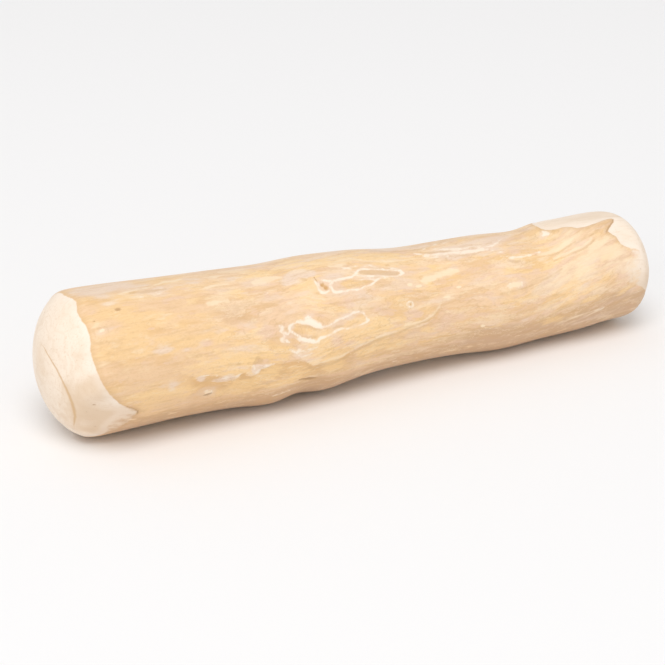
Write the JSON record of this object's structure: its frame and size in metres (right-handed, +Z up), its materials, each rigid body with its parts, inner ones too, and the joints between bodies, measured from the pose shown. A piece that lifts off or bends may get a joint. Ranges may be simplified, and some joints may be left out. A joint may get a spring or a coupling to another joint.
{
  "type": "coffee wood chew stick",
  "caption": "Solid barkless length of gnarled coffee wood with sanded, domed ends, for a dog to gnaw.",
  "frame": {"origin": "middle of the bounding box on the surface the stick rests on", "axes": "+X along the stick towards its thin end, +Z up"},
  "size_m": [0.205, 0.0436, 0.0434],
  "materials": {
    "coffee_wood": "bare, dry, smooth-scraped wood, honey tan where the inner skin is left and cream where the ends are sanded"
  },
  "bodies": {
    "root": {"chew_stick": "coffee_wood"}
  },
  "joints": []
}
